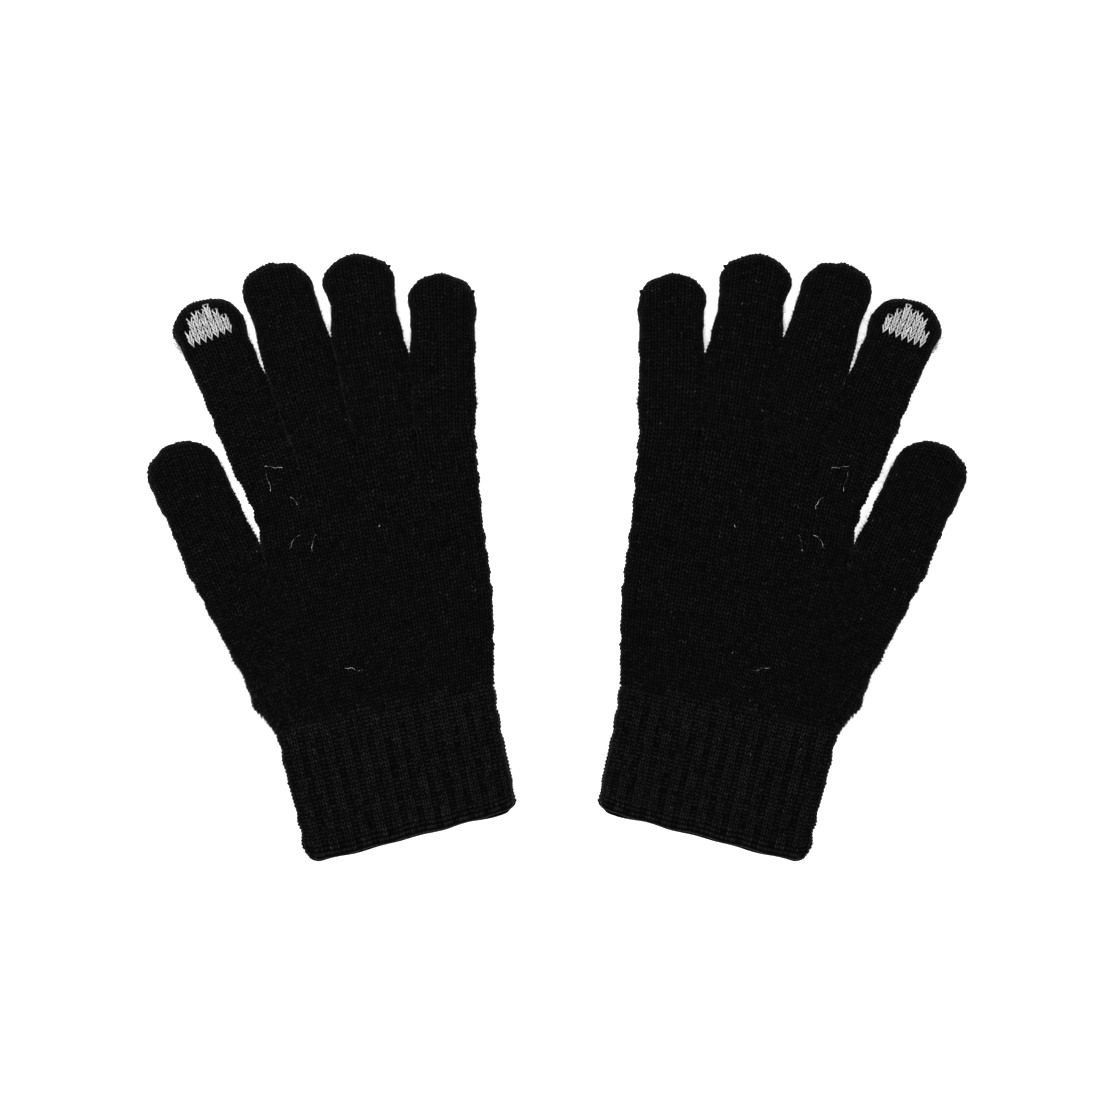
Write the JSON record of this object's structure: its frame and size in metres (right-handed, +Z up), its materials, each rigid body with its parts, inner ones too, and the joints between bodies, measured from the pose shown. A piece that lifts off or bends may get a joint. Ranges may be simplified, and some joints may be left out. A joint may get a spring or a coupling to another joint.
{
  "type": "pair of knitted touchscreen gloves",
  "caption": "Pair of black stretch-knit gloves lying flat, palms up, with ribbed cuffs and a pale conductive knit patch on each index fingertip.",
  "frame": {"origin": "middle of the pair, on the surface that the gloves lie on", "axes": "+X across the pair from the left glove to the right one, +Y towards the fingertips, +Z up out of the palms"},
  "size_m": [0.305, 0.2265, 0.009],
  "materials": {
    "plain_knit": "black stockinette stretch knit, matt with a slight fuzz",
    "rib_knit": "black two by two rib knit, matt",
    "conductive_yarn": "light grey metallised yarn, knitted, dull",
    "elastic_yarn": "covered elastic yarn, matt"
  },
  "bodies": {
    "left_hand": {"left_hand": "plain_knit"},
    "left_cuff": {"left_cuff_rib": "rib_knit", "left_cuff_hem": "rib_knit", "left_cuff_elastic": "elastic_yarn"},
    "left_little_base": {"left_little_base": "plain_knit"},
    "left_little_tip": {"left_little_tip": "plain_knit"},
    "left_ring_base": {"left_ring_base": "plain_knit"},
    "left_ring_tip": {"left_ring_tip": "plain_knit"},
    "left_middle_base": {"left_middle_base": "plain_knit"},
    "left_middle_tip": {"left_middle_tip": "plain_knit"},
    "left_index_base": {"left_index_base": "plain_knit"},
    "left_index_tip": {"left_index_tip": "plain_knit", "left_touch_pad": "conductive_yarn", "left_yarn_tail": "conductive_yarn"},
    "left_thumb_base": {"left_thumb_base": "plain_knit"},
    "left_thumb_tip": {"left_thumb_tip": "plain_knit"},
    "right_hand": {"right_hand": "plain_knit"},
    "right_cuff": {"right_cuff_rib": "rib_knit", "right_cuff_hem": "rib_knit", "right_cuff_elastic": "elastic_yarn"},
    "right_little_base": {"right_little_base": "plain_knit"},
    "right_little_tip": {"right_little_tip": "plain_knit"},
    "right_ring_base": {"right_ring_base": "plain_knit"},
    "right_ring_tip": {"right_ring_tip": "plain_knit"},
    "right_middle_base": {"right_middle_base": "plain_knit"},
    "right_middle_tip": {"right_middle_tip": "plain_knit"},
    "right_index_base": {"right_index_base": "plain_knit"},
    "right_index_tip": {"right_index_tip": "plain_knit", "right_touch_pad": "conductive_yarn", "right_yarn_tail": "conductive_yarn"},
    "right_thumb_base": {"right_thumb_base": "plain_knit"},
    "right_thumb_tip": {"right_thumb_tip": "plain_knit"}
  },
  "joints": [
    {"name": "left_wrist", "type": "hinge", "parent": "left_hand", "child": "left_cuff", "pos_m": [-0.06405, -0.05765, 0.009], "axis": [-0.9748, -0.2233, 0], "range_deg": [0, 60]},
    {"name": "left_little_root", "type": "hinge", "parent": "left_hand", "child": "left_little_base", "pos_m": [-0.0418, 0.0481, 0.009], "axis": [0.9998, 0.0175, 0], "range_deg": [0, 60]},
    {"name": "left_little_bend", "type": "hinge", "parent": "left_little_base", "child": "left_little_tip", "pos_m": [-0.0423, 0.07709, 0.009], "axis": [0.9998, 0.0175, 0], "range_deg": [0, 60]},
    {"name": "left_ring_root", "type": "hinge", "parent": "left_hand", "child": "left_ring_base", "pos_m": [-0.06465, 0.04606, 0.009], "axis": [0.9871, 0.1599, 0], "range_deg": [0, 55]},
    {"name": "left_ring_bend", "type": "hinge", "parent": "left_ring_base", "child": "left_ring_tip", "pos_m": [-0.07024, 0.08061, 0.009], "axis": [0.9871, 0.1599, 0], "range_deg": [0, 50]},
    {"name": "left_middle_root", "type": "hinge", "parent": "left_hand", "child": "left_middle_base", "pos_m": [-0.08694, 0.041, 0.009], "axis": [0.9593, 0.2823, 0], "range_deg": [0, 50]},
    {"name": "left_middle_bend", "type": "hinge", "parent": "left_middle_base", "child": "left_middle_tip", "pos_m": [-0.09738, 0.0765, 0.009], "axis": [0.9593, 0.2823, 0], "range_deg": [0, 50]},
    {"name": "left_index_root", "type": "hinge", "parent": "left_hand", "child": "left_index_base", "pos_m": [-0.10859, 0.03334, 0.009], "axis": [0.9239, 0.3827, 0], "range_deg": [0, 60]},
    {"name": "left_index_bend", "type": "hinge", "parent": "left_index_base", "child": "left_index_tip", "pos_m": [-0.12122, 0.06383, 0.009], "axis": [0.9239, 0.3827, 0], "range_deg": [0, 60]},
    {"name": "left_thumb_root", "type": "hinge", "parent": "left_hand", "child": "left_thumb_base", "pos_m": [-0.12337, -0.00298, 0.009], "axis": [0.9135, 0.4067, 0], "range_deg": [0, 45]},
    {"name": "left_thumb_bend", "type": "hinge", "parent": "left_thumb_base", "child": "left_thumb_tip", "pos_m": [-0.13313, 0.01895, 0.009], "axis": [0.9135, 0.4067, 0], "range_deg": [0, 60]},
    {"name": "pair_spacing", "type": "slide", "parent": "left_hand", "child": "right_hand", "axis": [1, 0, 0], "range_m": [0, 0.04]},
    {"name": "right_wrist", "type": "hinge", "parent": "right_hand", "child": "right_cuff", "pos_m": [0.06405, -0.05765, 0.009], "axis": [-0.9748, 0.2233, 0], "range_deg": [0, 60]},
    {"name": "right_little_root", "type": "hinge", "parent": "right_hand", "child": "right_little_base", "pos_m": [0.0418, 0.0481, 0.009], "axis": [0.9998, -0.0175, 0], "range_deg": [0, 60]},
    {"name": "right_little_bend", "type": "hinge", "parent": "right_little_base", "child": "right_little_tip", "pos_m": [0.0423, 0.07709, 0.009], "axis": [0.9998, -0.0175, 0], "range_deg": [0, 60]},
    {"name": "right_ring_root", "type": "hinge", "parent": "right_hand", "child": "right_ring_base", "pos_m": [0.06465, 0.04606, 0.009], "axis": [0.9871, -0.1599, 0], "range_deg": [0, 55]},
    {"name": "right_ring_bend", "type": "hinge", "parent": "right_ring_base", "child": "right_ring_tip", "pos_m": [0.07024, 0.08061, 0.009], "axis": [0.9871, -0.1599, 0], "range_deg": [0, 50]},
    {"name": "right_middle_root", "type": "hinge", "parent": "right_hand", "child": "right_middle_base", "pos_m": [0.08694, 0.041, 0.009], "axis": [0.9593, -0.2823, 0], "range_deg": [0, 50]},
    {"name": "right_middle_bend", "type": "hinge", "parent": "right_middle_base", "child": "right_middle_tip", "pos_m": [0.09738, 0.0765, 0.009], "axis": [0.9593, -0.2823, 0], "range_deg": [0, 50]},
    {"name": "right_index_root", "type": "hinge", "parent": "right_hand", "child": "right_index_base", "pos_m": [0.10859, 0.03334, 0.009], "axis": [0.9239, -0.3827, 0], "range_deg": [0, 60]},
    {"name": "right_index_bend", "type": "hinge", "parent": "right_index_base", "child": "right_index_tip", "pos_m": [0.12122, 0.06383, 0.009], "axis": [0.9239, -0.3827, 0], "range_deg": [0, 60]},
    {"name": "right_thumb_root", "type": "hinge", "parent": "right_hand", "child": "right_thumb_base", "pos_m": [0.12337, -0.00298, 0.009], "axis": [0.9135, -0.4067, 0], "range_deg": [0, 45]},
    {"name": "right_thumb_bend", "type": "hinge", "parent": "right_thumb_base", "child": "right_thumb_tip", "pos_m": [0.13313, 0.01895, 0.009], "axis": [0.9135, -0.4067, 0], "range_deg": [0, 60]}
  ]
}
